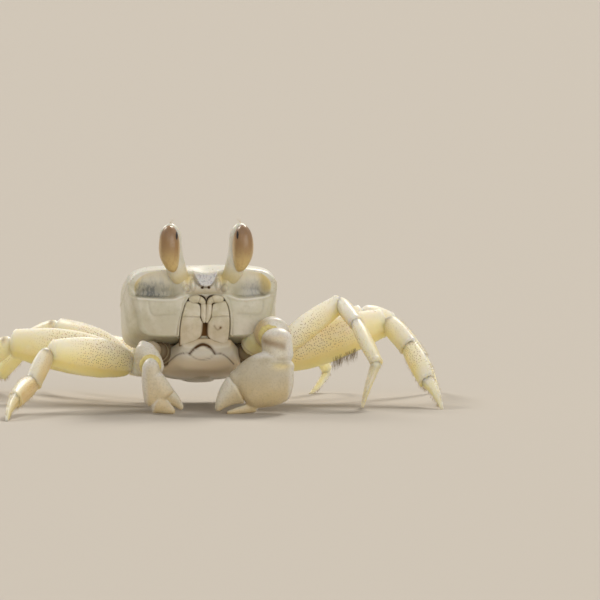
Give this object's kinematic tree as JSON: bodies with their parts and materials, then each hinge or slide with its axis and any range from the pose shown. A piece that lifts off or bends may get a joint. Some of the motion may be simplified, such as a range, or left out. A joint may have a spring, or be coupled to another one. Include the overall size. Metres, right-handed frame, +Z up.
{
  "type": "ghost crab",
  "caption": "Ghost crab standing with both claws on the floor: boxy shell, tall upright eyes on stalks, flat jointed walking legs and unequal claws.",
  "frame": {"origin": "on the floor, under the middle of the whole crab's outline", "axes": "+X towards the crab's left, -Y towards its front, +Z up"},
  "size_m": [0.1308, 0.089, 0.0434],
  "materials": {
    "shell": "smooth, faintly granular chitin, cream to grey-green",
    "mouthparts": "smooth cream chitin with dark seams",
    "leg_shell": "straw yellow, translucent chitin with fine brown dots",
    "claw_shell": "whitish beige chitin with fine granules",
    "cornea": "moist tan cornea, darker at the top"
  },
  "bodies": {
    "root": {"carapace": "shell", "sternum": "shell", "abdomen": "shell", "maxilliped_right": "mouthparts", "maxilliped_left": "mouthparts", "eyestalk_right": "shell", "eyestalk_left": "shell", "cornea_right": "cornea", "cornea_left": "cornea", "leg2_right_base": "leg_shell", "leg2_right_merus": "leg_shell", "leg2_right_carpus": "leg_shell", "leg2_right_propodus": "leg_shell", "leg2_right_dactylus": "leg_shell", "leg2_left_base": "leg_shell", "leg2_left_merus": "leg_shell", "leg2_left_carpus": "leg_shell", "leg2_left_propodus": "leg_shell", "leg2_left_dactylus": "leg_shell", "leg3_right_base": "leg_shell", "leg3_right_merus": "leg_shell", "leg3_right_carpus": "leg_shell", "leg3_right_propodus": "leg_shell", "leg3_right_dactylus": "leg_shell", "leg3_left_base": "leg_shell", "leg3_left_merus": "leg_shell", "leg3_left_carpus": "leg_shell", "leg3_left_propodus": "leg_shell", "leg3_left_dactylus": "leg_shell", "leg4_right_base": "leg_shell", "leg4_right_merus": "leg_shell", "leg4_right_carpus": "leg_shell", "leg4_right_propodus": "leg_shell", "leg4_right_dactylus": "leg_shell", "leg4_left_base": "leg_shell", "leg4_left_merus": "leg_shell", "leg4_left_carpus": "leg_shell", "leg4_left_propodus": "leg_shell", "leg4_left_dactylus": "leg_shell", "leg5_right_base": "leg_shell", "leg5_right_merus": "leg_shell", "leg5_right_carpus": "leg_shell", "leg5_right_propodus": "leg_shell", "leg5_right_dactylus": "leg_shell", "leg5_left_base": "leg_shell", "leg5_left_merus": "leg_shell", "leg5_left_carpus": "leg_shell", "leg5_left_propodus": "leg_shell", "leg5_left_dactylus": "leg_shell", "claw_left_base": "claw_shell", "claw_left_merus": "claw_shell", "claw_left_carpus": "claw_shell", "claw_left_palm": "claw_shell", "claw_left_finger": "claw_shell", "claw_right_base": "claw_shell", "claw_right_merus": "claw_shell", "claw_right_carpus": "claw_shell", "claw_right_palm": "claw_shell", "claw_right_finger": "claw_shell"}
  },
  "joints": []
}
